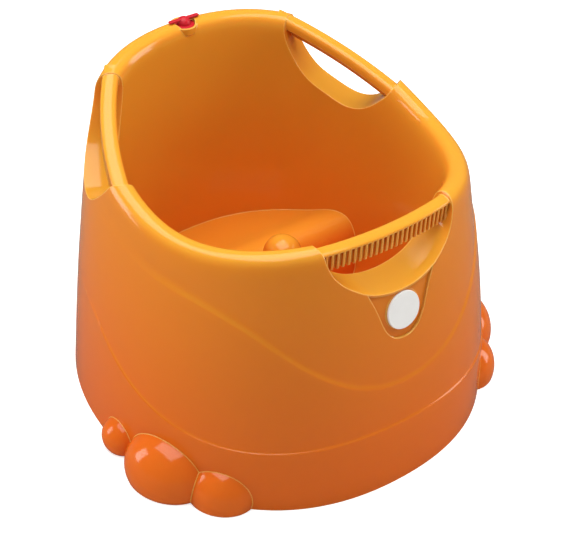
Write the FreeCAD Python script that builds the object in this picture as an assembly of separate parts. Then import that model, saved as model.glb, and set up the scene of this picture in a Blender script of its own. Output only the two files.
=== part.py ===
import FreeCAD, Part
import math
import os

# Baby bathtub, one moulding with a parked stopper and a bare disc.
# Millimetres. X is right, Y is back, Z is up. The disc faces -Y and the stopper sits at +Y.
# Plan angles are measured from +X, so the front is at -90 degrees and the back at 90.

V = FreeCAD.Vector
WALL = 2.3

# Foot of the skirt: a squarish oval, a little narrower in front
FOOT_HALF_X = 258.7
FOOT_HALF_Y = 268.4
FOOT_SQUARE = 2.21
FOOT_LOBE = -0.015
FOOT_SHIFT = -4.0

# Rim: a squarish ring set back from the foot's middle
RIM_HALF_X = 210.0
RIM_HALF_Y = 209.0
RIM_SQUARE = 2.26
RIM_SHIFT = 8.7
RIM_TUBE = 14.5

# Height of the rim's axis, low in front and high at the back, in powers of the sine of the plan angle
RIM_HEIGHT = [324.8, 58.3, 65.1, -35.6, -23.7, 8.7]

# Bow of the skirt between floor and rim, and how it changes from front to back
SKIRT_POWER = 1.77
SKIRT_LEAN = -0.25
SKIRT_FULL = -0.35

# Draft of the basin wall and height of its floor
BASIN_DRAFT = 0.046
BASIN_FLOOR = 30.0

# The lower skirt stands proud, and the front bib lies a little deeper
STEP_PROUD = 1.8
BIB_DEPTH = 1.8

# Seat, pommel and drain
SEAT_BACK_Z = 105.0
SEAT_EDGE_Z = 124.0
SEAT_FRONT_Y = 47.0
POMMEL_Y = -8.0
POMMEL_TOP = 208.0
POMMEL_BALL = 25.0
DRAIN_Y = -112.0
DRAIN_RADIUS = 9.5

# Handles: plan angles of the two collars, and how far the bar's axis lies below the rim's there
FRONT_HANDLE = (-116.0, -64.0, -1.5, -1.5)
SIDE_HANDLE = (127.1, 172.7, -5.2, 2.4)

# Outlines of their windows, from the foot of one collar to the other, and the same drops for the
# line that they are measured from. The last points round the collars' shoulders.
FRONT_FRAME = (-116.0, -64.0, 2.3, 2.3)
SIDE_FRAME = (127.3, 172.5, 0.0, 6.4)
FRONT_HALF = [(0.0, -54.5), (28.0, -52.0), (46.0, -47.0), (62.0, -38.5), (76.0, -28.5), (86.0, -17.5),
              (92.5, -4.0), (95.0, 7.0), (95.4, 11.5), (96.6, 15.0), (98.6, 17.6), (101.0, 20.0)]
SIDE_WINDOW = [(-90.0, 19.0), (-86.6, 16.0), (-84.2, 13.0), (-82.6, 9.0), (-80.0, 3.0), (-71.0, -12.0),
               (-55.0, -29.0), (-37.0, -44.0), (-18.0, -53.5), (2.0, -57.5), (22.0, -59.0), (40.0, -56.5),
               (56.0, -47.0), (68.0, -31.0), (76.0, -13.0), (82.0, 6.0), (83.0, 14.0), (84.2, 18.0),
               (86.2, 21.0), (89.0, 24.0)]

# Grip bar: a flattened roll with a comb of ribs on a thin plate that hangs below its outer edge
BAR_BULGE = 9.0
BAR_HALF = 10.0
BAR_CROWN = 8.0
BAR_LOW = -18.0
COMB_TOP = 4.0
COMB_DEEP = 5.0
COMB_RIBS = 25
RIB_WIDTH = 2.6

# Toe bumps on the right-hand side: centre x, y, z, then how far they reach out, along and up
TOES = [(255.3, -26.0, 15.8, 25.4, 27.9, 26.4),
        (240.0, -105.5, 16.9, 46.6, 57.0, 51.0),
        (203.5, -168.0, 9.7, 36.8, 43.6, 42.9)]

# Disc and the shield-shaped pocket that holds it
DISC_Z = 245.5
DISC_TILT = 13.5
DISC_RADIUS = 24.0
DISC_THICK = 2.4
POCKET_DEPTH = 3.0
POCKET_OUTLINE = [(52.0, 300.0), (48.5, 280.0), (42.0, 266.0), (34.5, 246.0), (27.5, 228.5), (19.0, 217.5),
                  (9.0, 212.0), (0.0, 211.0)]

# Stopper parked in the back of the rim
STOPPER_Y = 218.5
STOPPER_TOP = 408.0
STOPPER_FLANGE = 14.0
STOPPER_THICK = 3.5
STOPPER_PLUG = 9.0
STOPPER_WING = 22.5


def smooth(t):
    t = min(max(t, 0.0), 1.0)
    return t * t * (3.0 - 2.0 * t)


def oval(phi, half_x, half_y, square):
    c = abs(math.cos(math.radians(phi))) / half_x
    s = abs(math.sin(math.radians(phi))) / half_y
    return (c ** square + s ** square) ** (-1.0 / square)


def rim_axis_z(phi):
    s = math.sin(math.radians(phi))
    return sum(height * s ** k for k, height in enumerate(RIM_HEIGHT))


def rim_radius(phi):
    return oval(phi, RIM_HALF_X, RIM_HALF_Y, RIM_SQUARE)


def foot_radius(phi):
    lobe = 1.0 + FOOT_LOBE * math.cos(math.radians(3.0 * (phi + 90.0)))
    return oval(phi, FOOT_HALF_X, FOOT_HALF_Y, FOOT_SQUARE) * lobe


# Plan radius of the skirt at a height, and the Y of the ring's middle there
def skirt_ring(phi, z):
    s = math.sin(math.radians(phi))
    power = SKIRT_POWER + SKIRT_LEAN * s + SKIRT_FULL * s * s
    share = (max(z, 0.0) / rim_axis_z(phi)) ** power
    radius = foot_radius(phi) + (rim_radius(phi) + RIM_TUBE - foot_radius(phi)) * share
    return radius, FOOT_SHIFT + (RIM_SHIFT - FOOT_SHIFT) * share


def basin_radius(phi, z):
    return rim_radius(phi) - RIM_TUBE - BASIN_DRAFT * (400.0 - z)


def off_front(phi):
    return math.degrees(math.acos(max(-1.0, min(1.0, -math.sin(math.radians(phi))))))


# Height and strength of the step round the skirt, by angle away from the front
def step_line(off):
    a = math.radians(min(off, 104.0))
    return 179.3 - 127.6 * math.cos(a) + 43.3 * math.cos(2.0 * a)


def step_share(off):
    return 1.0 - smooth((off - 86.0) / 24.0)


# The same for the U-shaped edge of the front bib
def bib_line(off):
    return 151.0 + 118.0 * smooth(off / 58.0) ** 1.3 + 35.0 * smooth((off - 58.0) / 30.0)


def bib_share(off):
    return 1.0 - smooth((off - 66.0) / 22.0)


# One column of the wall, from the foot over the rim and down to the basin floor, as
# radius, height and Y of the ring's middle. Inset draws the whole wall in.
def wall_column(phi, inset):
    off = off_front(phi)
    axis = rim_axis_z(phi)
    low = axis - 20.0
    step = step_line(off)
    bib = min(bib_line(off), low - 18.0)
    proud = STEP_PROUD * step_share(off)
    deep = BIB_DEPTH * bib_share(off)
    rows = []

    def skirt(z, out):
        radius, middle = skirt_ring(phi, z)
        rows.append((radius + out - inset, z, middle))

    # The foot is proud all round, also at the back, where the step runs out
    skirt(0.0, STEP_PROUD)
    skirt(0.5 * step, proud + 0.3 * (STEP_PROUD - proud))
    skirt(step - 5.0, proud)
    skirt(step - 1.0, proud)
    skirt(step + 0.8, 0.0)
    skirt(step + 6.0, 0.0)
    skirt(0.5 * (step + bib), 0.0)
    skirt(bib - 6.0, 0.0)
    skirt(bib - 1.5, 0.0)
    skirt(bib + 2.5, -deep)
    skirt(bib + 9.0, -deep)
    skirt(0.5 * (bib + 9.0 + low), -0.5 * deep)
    skirt(low, 0.0)
    roll = RIM_TUBE * 1.108 - inset
    ring = rim_radius(phi)
    for turn in (0.0, 45.0, 90.0, 135.0, 180.0):
        a = math.radians(turn)
        rows.append((ring + roll * math.cos(a), axis + roll * math.sin(a), RIM_SHIFT))
    floor = BASIN_FLOOR - inset
    corner = 62.0
    for z in (axis - 26.0, 0.5 * (axis + corner), corner):
        rows.append((basin_radius(phi, z) + inset, z, RIM_SHIFT))
    edge = basin_radius(phi, corner)
    rows.append((edge - 1.0 + inset, floor + 13.0, RIM_SHIFT))
    rows.append((edge - 10.0 + inset, floor + 2.0, RIM_SHIFT))
    rows.append((edge - 30.0, floor, RIM_SHIFT))
    rows.append((edge - 44.0, floor, RIM_SHIFT))
    rows.append((edge - 60.0, floor, RIM_SHIFT))
    return rows


COLUMNS = 32
COLUMN_START = 67.5


# A closed surface through rings of control points, smooth round the tub
def ring_surface(columns):
    n = len(columns)
    m = len(columns[0])
    surface = Part.BSplineSurface()
    surface.buildFromPolesMultsKnots(
        columns,
        [1] * (n + 1),
        [4] + [1] * (m - 4) + [4],
        [float(i) for i in range(n + 1)],
        [float(i) for i in range(m - 2)],
        True, False, 3, 3)
    return surface.toShape()


def solid_of(face, ends):
    caps = [Part.Face(Part.Wire([edge])) for edge in ends]
    shell = Part.makeShell([face] + caps)
    shell.sewShape()
    solid = Part.makeSolid(shell)
    if solid.Volume < 0:
        solid.reverse()
    return solid


# The whole tub as a filled block, drawn in by inset
def wall_block(inset):
    swell = 3.0 / (2.0 + math.cos(2.0 * math.pi / COLUMNS))
    columns = []
    for k in range(COLUMNS):
        phi = COLUMN_START + 360.0 * k / COLUMNS
        c = math.cos(math.radians(phi)) * swell
        s = math.sin(math.radians(phi)) * swell
        columns.append([V(r * c, r * s + middle, z) for r, z, middle in wall_column(phi, inset)])
    face = ring_surface(columns)
    rings = [e for e in face.Edges if e.isClosed() and e.BoundBox.ZLength < 0.01]
    return solid_of(face, rings)


# A flat outline in the XZ plane, curved where it is a list and closed with straight lines
def outline_face(curve, corners):
    spline = Part.BSplineCurve()
    spline.interpolate(curve)
    points = [curve[-1]] + corners + [curve[0]]
    edges = [spline.toShape()] + [Part.makeLine(p, q) for p, q in zip(points, points[1:])]
    return Part.Face(Part.Wire(edges))


def push_through(face, near, far):
    face.translate(V(0.0, near, 0.0))
    return face.extrude(V(0.0, far - near, 0.0))


def rim_point(phi, drop):
    r = rim_radius(phi)
    c = math.cos(math.radians(phi))
    s = math.sin(math.radians(phi))
    return V(r * c, r * s + RIM_SHIFT, rim_axis_z(phi) - drop)


# Where a handle sits: the line between its collars is its X, and its Y points into the tub
def handle_place(start, end, start_drop, end_drop):
    a = rim_point(start, start_drop)
    b = rim_point(end, end_drop)
    along = (b - a).normalize()
    inward = V(0, 0, 1).cross(along).normalize()
    turn = FreeCAD.Rotation(along, inward, along.cross(inward), "XYZ")
    return FreeCAD.Placement((a + b) * 0.5, turn), 0.5 * (b - a).Length


# Window of a handle in its own frame, let out by grow
def window_prism(outline, grow):
    curve = [V(u * (1.0 + grow / 85.0), 0.0, z - grow) for u, z in outline]
    face = outline_face(curve, [V(curve[-1].x, 0.0, 60.0), V(curve[0].x, 0.0, 60.0)])
    return push_through(face, 60.0, -90.0)


# Grip bar in its own frame, bowed outwards by turning it about a far axis
def grip_bar(half):
    bend = (half * half + BAR_BULGE * BAR_BULGE) / (2.0 * BAR_BULGE)
    mid = -BAR_BULGE
    r = BAR_HALF
    low = BAR_LOW
    plate = mid - r + COMB_DEEP
    c = BAR_CROWN
    crown = Part.BSplineCurve()
    crown.interpolate([V(0, mid - r, COMB_TOP), V(0, mid - 0.92 * r, 0.72 * c), V(0, mid - 0.6 * r, 0.92 * c),
                       V(0, mid, c), V(0, mid + 0.6 * r, 0.83 * c), V(0, mid + 0.93 * r, 0.4 * c),
                       V(0, mid + r, -1.0), V(0, mid + r, -5.0)])
    corners = [V(0, mid + r, -5.0), V(0, mid + r - 3.0, -8.0), V(0, plate + 3.0, -8.0), V(0, plate + 2.4, low),
               V(0, mid - r + 1.2, low), V(0, mid - r, low + 1.2), V(0, mid - r, COMB_TOP)]
    lines = [Part.makeLine(p, q) for p, q in zip(corners, corners[1:])]
    face = Part.Face(Part.Wire([crown.toShape()] + lines))
    centre = V(0, mid + bend, 0)
    swing = math.degrees(math.asin((half + 8.0) / bend))
    face.rotate(centre, V(0, 0, 1), -swing)
    bar = face.revolve(centre, V(0, 0, 1), 2.0 * swing)
    # Grooves between the ribs, open below
    span = math.degrees(math.asin((half + 1.0) / bend))
    pitch = 2.0 * span / (COMB_RIBS + 1)
    width = math.radians(pitch) * (bend + r) - RIB_WIDTH
    grooves = []
    for i in range(COMB_RIBS + 1):
        groove = Part.makeBox(width, COMB_DEEP + 8.0, COMB_TOP - low + 4.0, V(-0.5 * width, mid - r - 8.0, low - 4.0))
        groove.rotate(centre, V(0, 0, 1), -span + (i + 0.5) * pitch)
        grooves.append(groove)
    return bar.cut(Part.makeCompound(grooves))


# Seat with a rolled front edge, as an outline in the YZ plane, drawn in by inset
def seat_block(inset, bottom, swell):
    f = SEAT_FRONT_Y + inset
    t = SEAT_EDGE_Z - inset
    b = SEAT_BACK_Z - inset
    curve = [V(0, f - 6.0, bottom), V(0, f, 80.0), V(0, f + 6.0, 101.0 - inset), V(0, f + 22.0, t - 3.0),
             V(0, f + 42.0, t - 0.5), V(0, f + 72.0, b + 8.0), V(0, f + 110.0, b), V(0, f + 175.0, b)]
    spline = Part.BSplineCurve()
    spline.interpolate(curve)
    corners = [curve[-1], V(0, f + 175.0, bottom), curve[0]]
    edges = [spline.toShape()] + [Part.makeLine(p, q) for p, q in zip(corners, corners[1:])]
    face = Part.Face(Part.Wire(edges))
    face.translate(V(-210.0, 0, 0))
    prism = face.extrude(V(420.0, 0, 0))
    return prism.common(basin_plug(bottom, 160.0, swell))


# The room inside the basin wall between two heights, let into the wall by swell
def basin_plug(low, high, swell):
    rings = []
    for z in (low, high):
        points = []
        for k in range(COLUMNS):
            phi = 360.0 * k / COLUMNS
            r = basin_radius(phi, z) + swell
            points.append(V(r * math.cos(math.radians(phi)), r * math.sin(math.radians(phi)) + RIM_SHIFT, z))
        spline = Part.BSplineCurve()
        spline.interpolate(points, PeriodicFlag=True)
        rings.append(Part.Wire([spline.toShape()]))
    return Part.makeLoft(rings, True, True)


# Pommel as a turned post: a ball top and a flared foot, drawn in by inset
def pommel(inset, bottom):
    ball = POMMEL_BALL - inset
    middle = POMMEL_TOP - POMMEL_BALL
    turn = math.radians(100.0)
    half = 0.5 * turn
    start = V(0, 0, middle + ball)
    waist = V(ball * math.sin(turn), 0, middle + ball * math.cos(turn))
    foot = V(62.0 - inset, 0, bottom)
    crown = Part.Arc(start, V(ball * math.sin(half), 0, middle + ball * math.cos(half)), waist).toShape()
    flare = Part.Arc(waist, V(37.0 - inset, 0, 100.0), foot).toShape()
    edges = [crown, flare, Part.makeLine(foot, V(0, 0, bottom)), Part.makeLine(V(0, 0, bottom), start)]
    post = Part.Face(Part.Wire(edges)).revolve(V(0, 0, 0), V(0, 0, 1), 360.0)
    post.translate(V(0, POMMEL_Y, 0))
    return post


# Toe bumps on both sides, cut off at the floor
def toes(inset):
    bumps = []
    for x, y, z, out, along, up in TOES:
        stretch = FreeCAD.Matrix()
        stretch.scale(out - inset, along - inset, up - inset)
        bump = Part.makeSphere(1.0).transformGeometry(stretch)
        bump.rotate(V(0, 0, 0), V(0, 0, 1), math.degrees(math.atan2(y, x)))
        bump.translate(V(x, y, z))
        bumps += [bump, bump.mirror(V(0, 0, 0), V(1, 0, 0))]
    both = bumps[0].multiFuse(bumps[1:])
    return both.common(Part.makeBox(700.0, 400.0, 200.0, V(-350.0, -300.0, 0.0)))


# Shield-shaped outline of the pocket under the front window
def shield_prism(grow):
    half = [(x + (grow if x > 0 else 0.0), z - grow) for x, z in POCKET_OUTLINE]
    curve = [V(x, 0, z) for x, z in half] + [V(-x, 0, z) for x, z in half[-2::-1]]
    return push_through(outline_face(curve, []), -208.0, -300.0)


def tilted_disc(radius, thick, out):
    lean = math.radians(DISC_TILT)
    axis = V(0, -math.cos(lean), math.sin(lean))
    return Part.makeCylinder(radius, thick, V(0, -out, DISC_Z), axis)


block = wall_block(0.0)
hollow = wall_block(WALL)

# Seat, pommel and toes join the outside, and their drawn-in copies join the hollow
basin_things = seat_block(0.0, BASIN_FLOOR - 1.5, 1.0).fuse(pommel(0.0, BASIN_FLOOR - 1.5))
outside = block.fuse(toes(0.0)).fuse(basin_things)
inner_things = seat_block(WALL, -5.0, WALL + 1.5).fuse(pommel(WALL, -5.0))
inside = hollow.fuse(toes(WALL)).fuse(inner_things)

# The drain, a short boss hung under the foot well
drain_boss = Part.makeCylinder(DRAIN_RADIUS + 4.0, 7.0, V(0, DRAIN_Y, BASIN_FLOOR - 8.0))
body = outside.cut(inside).fuse(drain_boss)
body = body.cut(Part.makeCylinder(DRAIN_RADIUS, 30.0, V(0, DRAIN_Y, BASIN_FLOOR - 20.0)))
body = body.cut(Part.makeCylinder(STOPPER_FLANGE + 0.8, 10.0, V(0, DRAIN_Y, BASIN_FLOOR - 1.2)))

# Pocket for the disc: the skin steps in there and keeps its thickness
shallow = wall_block(POCKET_DEPTH)
backed = wall_block(POCKET_DEPTH + WALL)
backing = shield_prism(WALL).common(shallow).cut(backed)
scoop = shield_prism(0.0).common(block).cut(shallow)
body = body.fuse(backing).cut(scoop)
radius, middle = skirt_ring(-90.0, DISC_Z)
pad_out = radius - middle - BIB_DEPTH - POCKET_DEPTH + 1.6
body = body.fuse(tilted_disc(DISC_RADIUS + 1.0, 3.6, pad_out - 3.6))
body = body.cut(tilted_disc(DISC_RADIUS + 0.8, 12.0, pad_out))

# Handle windows, each framed by a web between the two walls, then the grip bars
core = wall_block(0.4 * WALL)
windows = []
webs = []
bars = []
FRONT_WINDOW = [(-u, z) for u, z in FRONT_HALF[:0:-1]] + FRONT_HALF
for handle, sill, outline in ((FRONT_HANDLE, FRONT_FRAME, FRONT_WINDOW), (SIDE_HANDLE, SIDE_FRAME, SIDE_WINDOW)):
    window = window_prism(outline, 0.0)
    frame = window_prism(outline, WALL).cut(window_prism(outline, -0.7))
    for shape in (window, frame):
        shape.Placement = handle_place(*sill)[0]
    place, half = handle_place(*handle)
    bar = grip_bar(half)
    bar.Placement = place
    windows.append(window)
    webs.append(frame.common(core))
    bars.append(bar)
for group in (windows, webs, bars):
    group.append(group[-1].mirror(V(0, 0, 0), V(1, 0, 0)))
for window, web, bar in zip(windows, webs, bars):
    body = body.fuse(web).cut(window)
    body = body.fuse(bar)

# Stopper pocket in the back of the rim
ledge = STOPPER_TOP - STOPPER_THICK
boss = Part.makeCylinder(STOPPER_FLANGE + 3.2, 9.0, V(0, STOPPER_Y, STOPPER_TOP - 9.0))
boss = boss.fuse(Part.makeCone(STOPPER_PLUG + 3.0, STOPPER_FLANGE + 3.2, 4.5, V(0, STOPPER_Y, STOPPER_TOP - 13.5)))
boss = boss.fuse(Part.makeCylinder(STOPPER_PLUG + 3.0, 20.0, V(0, STOPPER_Y, STOPPER_TOP - 23.0)))
body = body.fuse(boss)
body = body.cut(Part.makeCylinder(STOPPER_FLANGE + 0.5, 20.0, V(0, STOPPER_Y, ledge)))
body = body.cut(Part.makeCylinder(STOPPER_PLUG + 0.5, 20.0, V(0, STOPPER_Y, ledge - 15.0)))

# Stopper: flange, plug, a wing bar across it and a low dome
flange = Part.makeCylinder(STOPPER_FLANGE, STOPPER_THICK, V(0, STOPPER_Y, ledge))
flange = flange.makeChamfer(0.8, [flange.Edges[0]])
plug = Part.makeCylinder(STOPPER_PLUG, 11.0, V(0, STOPPER_Y, ledge - 11.0))
wing = Part.makeBox(2.0 * STOPPER_WING, 5.5, 3.6, V(-STOPPER_WING, STOPPER_Y - 2.75, STOPPER_TOP + 4.7))
wing = wing.makeChamfer(1.2, wing.Edges)
hub = Part.makeCylinder(6.5, 6.0, V(0, STOPPER_Y, STOPPER_TOP - 0.5))
dome = Part.makeSphere(9.0, V(0, STOPPER_Y, STOPPER_TOP + 0.4))
dome = dome.common(Part.makeBox(40.0, 40.0, 20.0, V(-20.0, STOPPER_Y - 20.0, STOPPER_TOP - 1.0)))
stopper = flange.multiFuse([plug, wing, hub, dome])

# Bare disc on its pad
disc = tilted_disc(DISC_RADIUS, DISC_THICK, pad_out)
disc = disc.makeChamfer(0.6, [disc.Edges[0]])

os.makedirs("parts", exist_ok=True)
for name, shape in (("tub_body", body), ("stopper", stopper), ("badge_disc", disc)):
    shape.exportStep("parts/" + name + ".step")
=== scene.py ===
import math

import bpy
from mathutils import Matrix, Vector


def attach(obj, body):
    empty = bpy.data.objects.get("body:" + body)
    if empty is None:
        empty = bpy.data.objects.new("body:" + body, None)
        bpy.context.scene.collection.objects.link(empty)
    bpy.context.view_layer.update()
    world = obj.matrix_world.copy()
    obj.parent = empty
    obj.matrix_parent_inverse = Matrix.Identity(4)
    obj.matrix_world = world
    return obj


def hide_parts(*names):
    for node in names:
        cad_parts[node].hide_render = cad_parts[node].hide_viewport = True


# Baby bathtub in glossy orange plastic, with its red stopper and a bare white disc.
# Metres. The disc faces -Y, the stopper sits at +Y and the tub stands on Z = 0.

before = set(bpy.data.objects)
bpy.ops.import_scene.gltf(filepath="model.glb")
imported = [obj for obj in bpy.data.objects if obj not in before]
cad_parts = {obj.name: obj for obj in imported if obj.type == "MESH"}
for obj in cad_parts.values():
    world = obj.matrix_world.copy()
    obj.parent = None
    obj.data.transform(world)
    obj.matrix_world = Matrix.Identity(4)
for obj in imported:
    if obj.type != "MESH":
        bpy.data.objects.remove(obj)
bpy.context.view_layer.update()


def deselect_all():
    if bpy.context.object and bpy.context.object.mode != "OBJECT":
        bpy.ops.object.mode_set(mode="OBJECT")
    bpy.ops.object.select_all(action="DESELECT")


def pick(piece):
    deselect_all()
    piece.select_set(True)
    bpy.context.view_layer.objects.active = piece


# Put the place, turn and size of a piece into its mesh and hand it to the tub
def settle(piece, material, angle):
    pick(piece)
    bpy.ops.object.transform_apply(location=True, rotation=True, scale=True)
    bpy.ops.object.shade_smooth_by_angle(angle=math.radians(angle))
    piece.data.materials.clear()
    piece.data.materials.append(material)
    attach(piece, "root")



# Node helpers

def new_material(name):
    material = bpy.data.materials.new(name)
    material.use_nodes = True
    return material, material.node_tree, material.node_tree.nodes["Principled BSDF"]


def object_place(tree):
    place = tree.nodes.new("ShaderNodeTexCoord")
    split = tree.nodes.new("ShaderNodeSeparateXYZ")
    tree.links.new(place.outputs["Object"], split.inputs["Vector"])
    return place.outputs["Object"], split.outputs


def object_noise(tree, scale, detail):
    noise = tree.nodes.new("ShaderNodeTexNoise")
    noise.inputs["Scale"].default_value = scale
    noise.inputs["Detail"].default_value = detail
    tree.links.new(object_place(tree)[0], noise.inputs["Vector"])
    return noise.outputs["Fac"]


# One operation of arithmetic on values and sockets
def reckon(tree, operation, *terms):
    node = tree.nodes.new("ShaderNodeMath")
    node.operation = operation
    for socket, term in zip(node.inputs, terms):
        if isinstance(term, (int, float)):
            socket.default_value = term
        else:
            tree.links.new(term, socket)
    return node.outputs[0]


# A share that runs smoothly from 0 at start to 1 at end
def ease(tree, value, start, end):
    node = tree.nodes.new("ShaderNodeMapRange")
    node.interpolation_type = "SMOOTHSTEP"
    node.inputs["From Min"].default_value = start
    node.inputs["From Max"].default_value = end
    tree.links.new(value, node.inputs["Value"])
    return node.outputs["Result"]


def dot(tree, one, other):
    node = tree.nodes.new("ShaderNodeVectorMath")
    node.operation = "DOT_PRODUCT"
    tree.links.new(one, node.inputs[0])
    tree.links.new(other, node.inputs[1])
    return node.outputs["Value"]


def blend(tree, share, first, second):
    node = tree.nodes.new("ShaderNodeMix")
    node.data_type = "RGBA"
    tree.links.new(share, node.inputs["Factor"])
    for name, colour in (("A", first), ("B", second)):
        if isinstance(colour, tuple):
            node.inputs[name].default_value = colour + (1.0,)
        else:
            tree.links.new(colour, node.inputs[name])
    return node.outputs["Result"]


# Relief of the skirt, in metres and in degrees off the front

SKIRT_START = (0.214, 0.218)
STEP_LINE = (0.1360, -0.1276, 0.0866)
STEP_LAST = 104.0
STEP_FADE = (84.0, 108.0)
STEP_EDGE = (-0.0012, 0.0012)
BIB_LOW = 0.151
BIB_RISE = 0.118
BIB_SHOULDER = 0.035
BIB_TURN = 58.0
BIB_TOP = 88.0
BIB_FADE = (40.0, 80.0)
BIB_EDGE = (-0.004, 0.002)
BIB_SHARE = 0.16
RELIEF_HEIGHT = 0.0011


# Height field of the skirt: the band that stands proud below the step line, and the front bib
def skirt_relief(tree):
    def turn_share(start, end):
        return ease(tree, off, math.radians(start), math.radians(end))

    def left_over(share):
        return reckon(tree, "SUBTRACT", 1.0, share)

    place, (x, y, z) = object_place(tree)
    reach = reckon(tree, "ADD", reckon(tree, "MULTIPLY", x, x), reckon(tree, "MULTIPLY", y, y))
    reach = reckon(tree, "SQRT", reach)
    outside = ease(tree, reach, *SKIRT_START)

    # Cosine of the angle off the front, and the angle
    cosine = reckon(tree, "MULTIPLY", y, -1.0)
    cosine = reckon(tree, "DIVIDE", cosine, reckon(tree, "MAXIMUM", reach, 0.01))
    held = reckon(tree, "MINIMUM", reckon(tree, "MAXIMUM", cosine, -0.9999), 0.9999)
    off = reckon(tree, "ARCCOSINE", held)

    # The step line's height over powers of the cosine
    level, slope, bend = STEP_LINE
    held = reckon(tree, "MAXIMUM", cosine, math.cos(math.radians(STEP_LAST)))
    line = reckon(tree, "MULTIPLY_ADD", held, slope, level)
    line = reckon(tree, "MULTIPLY_ADD", reckon(tree, "MULTIPLY", held, held), bend, line)
    fade = reckon(tree, "MULTIPLY", left_over(turn_share(*STEP_FADE)), outside)
    step = ease(tree, reckon(tree, "SUBTRACT", line, z), *STEP_EDGE)
    step = reckon(tree, "MULTIPLY", step, fade)

    # The bib's edge rises from the front to the sides
    rise = reckon(tree, "POWER", turn_share(0.0, BIB_TURN), 1.3)
    bib = reckon(tree, "MULTIPLY_ADD", rise, BIB_RISE, BIB_LOW)
    bib = reckon(tree, "MULTIPLY_ADD", turn_share(BIB_TURN, BIB_TOP), BIB_SHOULDER, bib)
    fade = reckon(tree, "MULTIPLY", left_over(turn_share(*BIB_FADE)), outside)
    panel = ease(tree, reckon(tree, "SUBTRACT", bib, z), *BIB_EDGE)
    panel = reckon(tree, "MULTIPLY", panel, fade)
    return reckon(tree, "MULTIPLY_ADD", panel, BIB_SHARE, step)


def bump(tree, height, strength, distance, normal):
    node = tree.nodes.new("ShaderNodeBump")
    node.inputs["Strength"].default_value = strength
    node.inputs["Distance"].default_value = distance
    tree.links.new(height, node.inputs["Height"])
    tree.links.new(normal, node.inputs["Normal"])
    return node.outputs["Normal"]


# Edges rounded in shading by radius, with the fine waviness of moulded plastic on top
def soft_edges(tree, shader, radius, waves, relief=None):
    rounder = tree.nodes.new("ShaderNodeBevel")
    rounder.samples = 6
    rounder.inputs["Radius"].default_value = radius
    normal = rounder.outputs["Normal"]
    if relief is not None:
        normal = bump(tree, relief, 1.0, RELIEF_HEIGHT, normal)
    tree.links.new(bump(tree, waves, 0.035, 0.001, normal), shader.inputs["Normal"])
    return rounder.outputs["Normal"]


# Share of a surface point that lies on a rounded edge, from how far its softened normal turns
def edge_share(tree, rounded, normal):
    return ease(tree, reckon(tree, "SUBTRACT", 1.0, dot(tree, rounded, normal)), 0.004, 0.06)


# Materials

# Shaded and lit copies of one orange plastic, for painted shade and painted light
PAINTED_SHADE_ORANGE = (0.72, 0.130, 0.010)
PAINTED_LIGHT_ORANGE = (0.73, 0.325, 0.030)
# Pale yellow painted highlight for rounded edges and lips
PAINTED_LIP_HIGHLIGHT = (0.90, 0.52, 0.12)
STOPPER_RED = ((0.46, 0.008, 0.018), (0.54, 0.012, 0.024))
DISC_WHITE = ((0.84, 0.83, 0.81), (0.88, 0.87, 0.86))


# Painted shade and light on one orange plastic: deep orange painted as shade low on the skirt, and
# yellower painted light up the wall, on what turns up and inside, with a painted highlight of pale
# yellow on edges
def tub_plastic():
    material, tree, shader = new_material("tub_plastic_look")
    shader.inputs["Roughness"].default_value = 0.12
    shader.inputs["IOR"].default_value = 1.5
    shader.inputs["Specular IOR Level"].default_value = 0.32
    shader.inputs["Subsurface Weight"].default_value = 0.15
    shader.inputs["Subsurface Radius"].default_value = (1.0, 0.3, 0.04)
    shader.inputs["Subsurface Scale"].default_value = 0.008

    place, (x, y, z) = object_place(tree)
    normal = tree.nodes.new("ShaderNodeNewGeometry").outputs["Normal"]
    facing = tree.nodes.new("ShaderNodeSeparateXYZ")
    tree.links.new(normal, facing.inputs["Vector"])
    # Painted light: surfaces that turn up, above the floor, and the inside of the tub are painted
    # yellower
    painted_top_light = ease(tree, facing.outputs["Z"], 0.15, 1.0)
    painted_top_light = reckon(tree, "MULTIPLY", painted_top_light, ease(tree, z, 0.06, 0.13))
    painted_inside_light = ease(tree, reckon(tree, "SUBTRACT", 0.0, dot(tree, place, normal)), 0.0, 0.12)

    # Painted shade low on the tub runs to painted light higher up; the noise adds a faint random
    # mottle of the plastic's own tone
    painted_light_and_mottle = reckon(tree, "MULTIPLY", ease(tree, z, 0.0, 0.42), 0.5)
    painted_light_and_mottle = reckon(tree, "MULTIPLY_ADD", painted_top_light, 0.55, painted_light_and_mottle)
    painted_light_and_mottle = reckon(tree, "MULTIPLY_ADD", painted_inside_light, 0.28, painted_light_and_mottle)
    painted_light_and_mottle = reckon(tree, "MULTIPLY_ADD", object_noise(tree, 3.0, 2.0), 0.06, painted_light_and_mottle)
    shade = blend(tree, painted_light_and_mottle, PAINTED_SHADE_ORANGE, PAINTED_LIGHT_ORANGE)

    rounded = soft_edges(tree, shader, 0.0022, object_noise(tree, 42.0, 2.0), skirt_relief(tree))
    # Painted highlight: rounded edges and lips are painted pale yellow
    painted_lip_highlight_share = reckon(tree, "MULTIPLY", edge_share(tree, rounded, normal), 0.85)
    tree.links.new(blend(tree, painted_lip_highlight_share, shade, PAINTED_LIP_HIGHLIGHT), shader.inputs["Base Color"])
    return material


def stopper_rubber():
    material, tree, shader = new_material("stopper_rubber_look")
    shader.inputs["Roughness"].default_value = 0.42
    shader.inputs["Specular IOR Level"].default_value = 0.3
    shader.inputs["Subsurface Weight"].default_value = 0.15
    shader.inputs["Subsurface Radius"].default_value = (1.0, 0.1, 0.1)
    shader.inputs["Subsurface Scale"].default_value = 0.002
    cloud = object_noise(tree, 160.0, 3.0)
    tree.links.new(blend(tree, cloud, *STOPPER_RED), shader.inputs["Base Color"])
    soft_edges(tree, shader, 0.0006, cloud)
    return material


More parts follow.
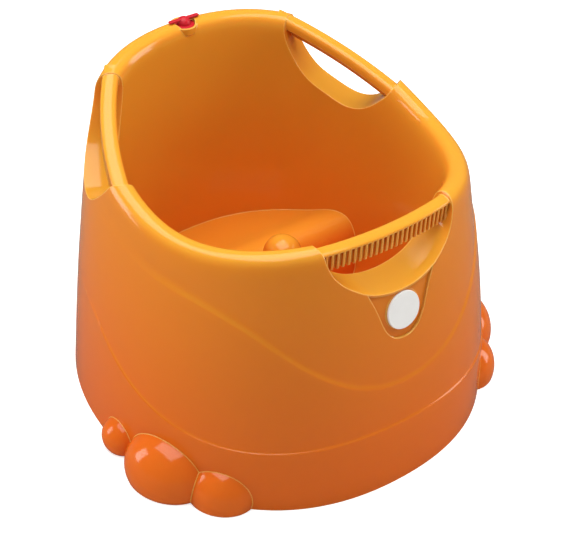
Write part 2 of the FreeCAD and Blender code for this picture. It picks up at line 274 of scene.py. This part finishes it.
def disc_white():
    material, tree, shader = new_material("disc_white_look")
    shader.inputs["Roughness"].default_value = 0.3
    cloud = object_noise(tree, 90.0, 2.0)
    tree.links.new(blend(tree, cloud, *DISC_WHITE), shader.inputs["Base Color"])
    soft_edges(tree, shader, 0.0004, cloud)
    return material


orange = tub_plastic()
red = stopper_rubber()
white = disc_white()


# Pieces

MERGE_GAP = 0.00002
SHARP_EDGE = 32.0


# The tub: its moulding with the loose triangles joined, so that light runs over it unbroken
def tub_shell():
    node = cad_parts["tub_body"]
    deselect_all()
    piece = node.copy()
    piece.data = node.data.copy()
    piece.name = "tub_shell"
    piece.parent = None
    for key in list(piece.keys()):
        del piece[key]
    bpy.context.scene.collection.objects.link(piece)
    pick(piece)
    bpy.ops.mesh.customdata_custom_splitnormals_clear()
    bpy.ops.object.mode_set(mode="EDIT")
    bpy.ops.mesh.select_all(action="SELECT")
    bpy.ops.mesh.remove_doubles(threshold=MERGE_GAP)
    bpy.ops.object.mode_set(mode="OBJECT")
    settle(piece, orange, SHARP_EDGE)
    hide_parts("tub_body")


tub_shell()

for name, material in (("stopper", red), ("badge_disc", white)):
    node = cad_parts[name]
    node.data.materials.clear()
    node.data.materials.append(material)


# Camera where the photograph was taken from

CAMERA_PLACE = (-0.9447, -1.1553, 1.3205)
CAMERA_BACK = (-0.5023, -0.6031, 0.6196)
CAMERA_RIGHT = (0.7684, -0.6400, 0.0)
CAMERA_ROLL = 3.757
FOCAL_LENGTH = 91.74
SENSOR_WIDTH = 36.0


def camera():
    back = Vector(CAMERA_BACK).normalized()
    right = Vector(CAMERA_RIGHT).normalized()
    up = back.cross(right).normalized()
    roll = math.radians(CAMERA_ROLL)
    side = right * math.cos(roll) + up * math.sin(roll)
    top = up * math.cos(roll) - right * math.sin(roll)
    lens = bpy.data.cameras.new("camera")
    lens.sensor_width = SENSOR_WIDTH
    lens.lens = FOCAL_LENGTH
    lens.clip_end = 50.0
    seen = bpy.data.objects.new("camera", lens)
    turn = Matrix((side, top, back)).transposed().to_4x4()
    turn.translation = Vector(CAMERA_PLACE)
    seen.matrix_world = turn
    bpy.context.scene.collection.objects.link(seen)
    bpy.context.scene.camera = seen


# Floor and light: a white floor under large soft lamps, dimmer in the gloss of the plastic

TUB_MIDDLE = (0.0, 0.0, 0.2)
FLOOR_LOW = -0.0005
FLOOR_WHITE = (0.86, 0.86, 0.86)
FLOOR_IN_GLOSS = (0.2, 0.2, 0.2)
FLOOR_LIFT = 0.58
SKY_LEVEL = 0.26
SKY_IN_GLOSS = 0.12


def area_lamp(name, place, size, watts, colour):
    lamp = bpy.data.lights.new(name, "AREA")
    lamp.shape = "RECTANGLE"
    lamp.size, lamp.size_y = size
    lamp.energy = watts
    lamp.color = colour
    holder = bpy.data.objects.new(name, lamp)
    holder.location = place
    holder.rotation_euler = (Vector(TUB_MIDDLE) - Vector(place)).to_track_quat("-Z", "Y").to_euler()
    bpy.context.scene.collection.objects.link(holder)


def white_floor():
    deselect_all()
    bpy.ops.mesh.primitive_plane_add(size=30.0, location=(0.0, 0.0, FLOOR_LOW))
    floor = bpy.context.object
    floor.name = "floor"
    material, tree, shader = new_material("floor_white")
    shader.inputs["Roughness"].default_value = 0.9
    shader.inputs["Specular IOR Level"].default_value = 0.1
    shader.inputs["Emission Color"].default_value = (1.0, 1.0, 1.0, 1.0)
    path = tree.nodes.new("ShaderNodeLightPath").outputs
    lift = reckon(tree, "MULTIPLY", path["Is Camera Ray"], FLOOR_LIFT)
    tree.links.new(lift, shader.inputs["Emission Strength"])
    paint = blend(tree, path["Is Glossy Ray"], FLOOR_WHITE, FLOOR_IN_GLOSS)
    tree.links.new(paint, shader.inputs["Base Color"])
    floor.data.materials.append(material)


def white_sky():
    world = bpy.data.worlds.new("studio")
    bpy.context.scene.world = world
    world.use_nodes = True
    tree = world.node_tree
    sky = tree.nodes["Background"]
    sky.inputs["Color"].default_value = (1.0, 1.0, 1.0, 1.0)
    path = tree.nodes.new("ShaderNodeLightPath").outputs
    level = reckon(tree, "MULTIPLY_ADD", path["Is Glossy Ray"], SKY_IN_GLOSS - SKY_LEVEL, SKY_LEVEL)
    level = reckon(tree, "MAXIMUM", path["Is Camera Ray"], level)
    tree.links.new(level, sky.inputs["Strength"])


camera()
white_floor()
white_sky()
area_lamp("overhead", (-0.15, 0.0, 2.0), (1.9, 1.9), 50.0, (1.0, 0.99, 0.96))
area_lamp("left", (-1.7, 1.2, 0.7), (0.7, 1.2), 17.0, (1.0, 0.99, 0.94))
area_lamp("right", (1.9, -1.0, 0.9), (0.7, 1.5), 20.0, (1.0, 0.99, 0.95))
bpy.context.scene.view_settings.view_transform = "Standard"
